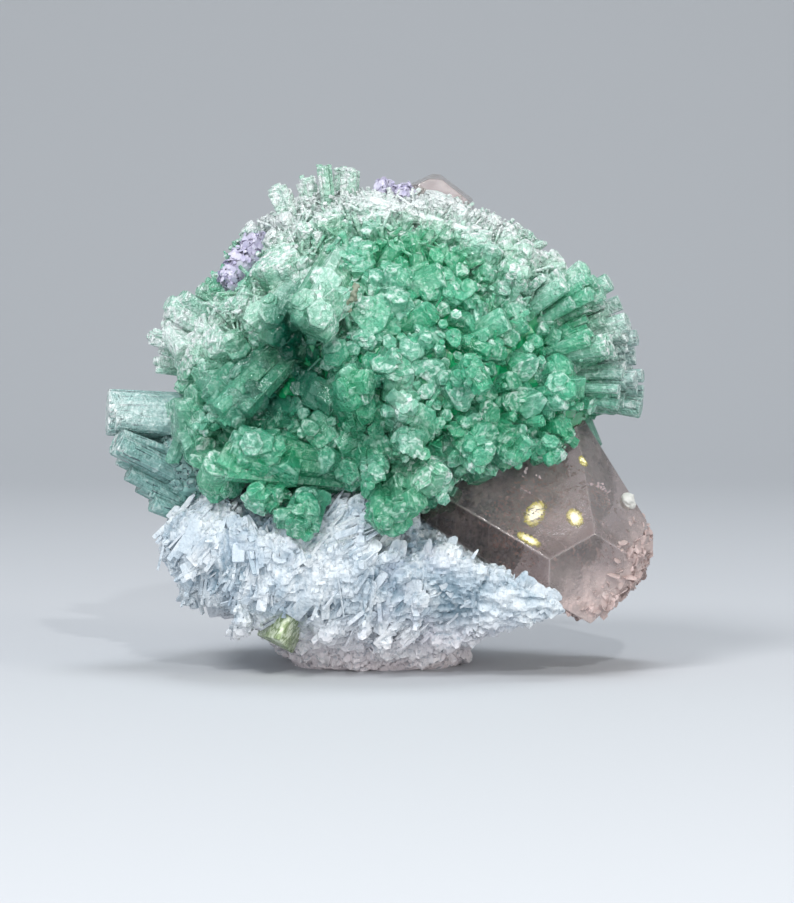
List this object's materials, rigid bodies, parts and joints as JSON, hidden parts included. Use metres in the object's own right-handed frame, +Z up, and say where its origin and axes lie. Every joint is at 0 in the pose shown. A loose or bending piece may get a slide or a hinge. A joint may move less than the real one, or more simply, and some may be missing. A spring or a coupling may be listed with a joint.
{
  "type": "mineral specimen of morganite and green tourmaline on feldspar",
  "caption": "Natural mineral specimen: a domed spray of mint-green tourmaline prisms and a stout pale pink morganite crystal, grown on blue-white bladed feldspar.",
  "frame": {"origin": "middle of the flat foot under the feldspar, on which the specimen rests", "axes": "+Z up out of the foot, +X to the viewer's right along the widest extent, -Y towards the viewer, where the spray and the morganite face"},
  "size_m": [0.1109, 0.0769, 0.101],
  "materials": {
    "feldspar_blue_white": "pale blue-white feldspar in thin blades, matte with pearly faces, pinkish along the lower rim",
    "tourmaline_green": "mint-green see-through crystal with glassy flat ends, frosty white at the upper left and top",
    "tourmaline_aqua": "clear pale aqua prisms with lengthwise stripes and a few dark streaks",
    "morganite_pink": "clear greyish-pink crystal with flat glassy faces, fine veils inside, frosted low on the right",
    "morganite_grey": "clear greyish-pink crystal with glassy faces",
    "lepidolite_purple": "purple mica in pearly scaly books",
    "crystal_yellow_green": "see-through yellow-green crystal, satin",
    "feldspar_white": "white, matte"
  },
  "bodies": {
    "root": {"feldspar_matrix": "feldspar_blue_white", "tourmaline_spray": "tourmaline_green", "tourmaline_left_spray": "tourmaline_aqua", "morganite_crystal": "morganite_pink", "small_morganite_crystal": "morganite_grey", "lepidolite_left": "lepidolite_purple", "lepidolite_top": "lepidolite_purple", "yellow_green_crystal": "crystal_yellow_green", "white_feldspar_grain": "feldspar_white"}
  },
  "joints": []
}
